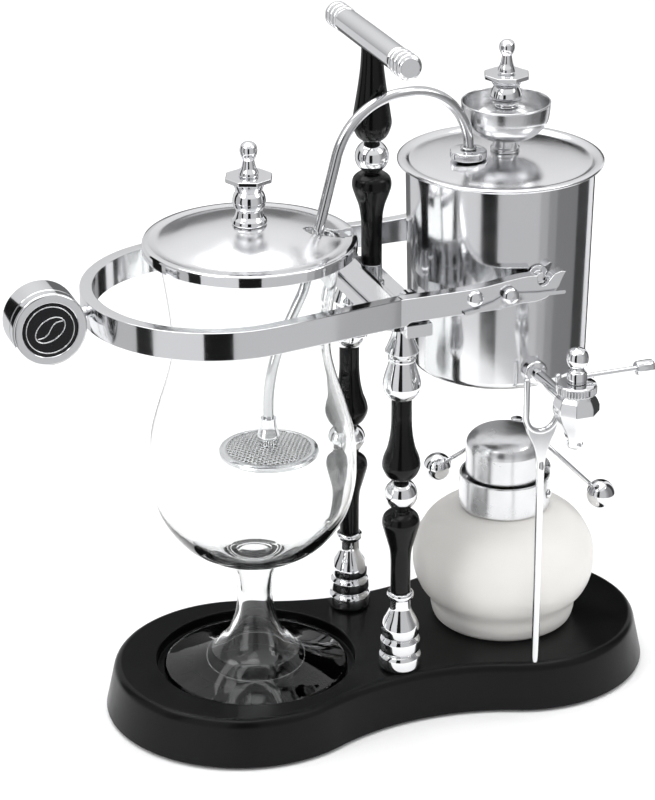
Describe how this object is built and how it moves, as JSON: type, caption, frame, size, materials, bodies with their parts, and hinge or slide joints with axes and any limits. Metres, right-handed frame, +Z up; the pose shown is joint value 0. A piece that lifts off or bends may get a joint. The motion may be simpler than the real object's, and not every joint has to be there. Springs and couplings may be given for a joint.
{
  "type": "siphon coffee maker",
  "caption": "Balance siphon coffee maker: lidded boiler on a counterweighted beam over a spirit burner, siphon tube to a lidded glass vessel, on a two-lobed base.",
  "frame": {"origin": "centre of the felt's underside between the two columns, on the table", "axes": "+Z up; +X from the glass vessel towards the boiler and burner; -Y is the tap side"},
  "size_m": [0.3216, 0.1685, 0.3367],
  "materials": {
    "chrome": "polished",
    "black": "satin",
    "base_black": "satin black lacquer",
    "felt": "felt",
    "clear_glass": "polished",
    "frosted_glass": "frosted",
    "steel": "satin",
    "brass": "satin",
    "cloth": "woven cotton",
    "silicone": "matte"
  },
  "bodies": {
    "stand": {"base": "base_black", "base_felt": "felt", "foot_front": "chrome", "foot_rear": "chrome", "lower_spindle_front": "black", "lower_spindle_rear": "black", "ball_front": "chrome", "ball_rear": "chrome", "upper_spindle_front": "black", "upper_spindle_rear": "black", "cap_front": "chrome", "cap_rear": "chrome", "tie_rods": "steel", "tie_nuts": "chrome", "bridge_plate": "chrome", "pivot_pins": "chrome", "handle_ferrule": "chrome", "handle_spindle_lower": "black", "handle_ball": "chrome", "handle_spindle_upper": "black", "handle_bar": "chrome", "handle_rod": "steel", "fork": "chrome", "glass_vessel": "clear_glass", "burner_bottle": "frosted_glass", "burner_collar": "chrome", "collar_rivets": "chrome", "wick_holder": "brass", "wick": "cloth", "snuffer_pin": "steel"},
    "balance_beam": {"beam": "chrome", "drum": "chrome", "drum_badge": "black", "drum_stud": "chrome", "arm_screws": "chrome"},
    "pin_keeper_front": {"keeper_front": "chrome"},
    "pin_keeper_rear": {"keeper_rear": "chrome"},
    "boiler_set": {"boiler": "chrome", "boiler_lid": "chrome", "trunnions": "chrome", "filler_cup": "steel", "siphon_tube": "steel", "filter_ferrule": "chrome", "filter_top": "steel", "filter_bottom": "steel", "filter_cloth": "cloth", "tap_pipe": "chrome", "tap_body": "chrome", "tap_bonnet": "chrome"},
    "filler_stopper": {"filler_plug": "chrome", "filler_seal": "silicone"},
    "union_nut": {"tube_nut": "chrome"},
    "tap_handle": {"tap_stem": "chrome", "tap_lever": "chrome"},
    "vessel_lid": {"glass_lid": "steel", "glass_knob": "chrome"},
    "snuffer_cap": {"snuffer": "chrome", "ball_arms": "chrome", "arm_balls": "chrome"}
  },
  "joints": [
    {"name": "beam_tilt", "type": "hinge", "parent": "stand", "child": "balance_beam", "pos_m": [0, 0, 0.219], "axis": [0, 1, 0], "range_deg": [0, 12]},
    {"name": "boiler_hang", "type": "hinge", "parent": "balance_beam", "child": "boiler_set", "pos_m": [0.0635, 0, 0.2242], "axis": [0, 1, 0], "range_deg": [-12, 0]},
    {"name": "snuffer_swing", "type": "hinge", "parent": "stand", "child": "snuffer_cap", "pos_m": [0.08673, 0.0188, 0.099], "axis": [-0.7373, 0.6756, 0], "range_deg": [0, 95]},
    {"name": "tap_turn", "type": "hinge", "parent": "boiler_set", "child": "tap_handle", "pos_m": [0.0635, -0.091, 0.19], "axis": [0, 0, -1], "range_deg": [0, 90]},
    {"name": "keeper_front_turn", "type": "hinge", "parent": "balance_beam", "child": "pin_keeper_front", "pos_m": [0.046, -0.0533, 0.2194], "axis": [0, -1, 0], "range_deg": [0, 20]},
    {"name": "keeper_rear_turn", "type": "hinge", "parent": "balance_beam", "child": "pin_keeper_rear", "pos_m": [0.046, 0.0533, 0.2194], "axis": [0, -1, 0], "range_deg": [0, 20]},
    {"name": "stopper_turn", "type": "hinge", "parent": "boiler_set", "child": "filler_stopper", "pos_m": [0.067, 0.003, 0.29], "axis": [0, 0, 1], "range_deg": [0, 180]},
    {"name": "union_nut_turn", "type": "hinge", "parent": "boiler_set", "child": "union_nut", "pos_m": [0.046, -0.002, 0.272], "axis": [0, 0, 1], "range_deg": [0, 180]},
    {"name": "vessel_lid_lift", "type": "slide", "parent": "stand", "child": "vessel_lid", "axis": [0, 0, 1], "range_m": [0, 0.012]}
  ],
  "couplings": [
    {"joint": "boiler_hang", "follows": "beam_tilt", "ratio": -1}
  ]
}
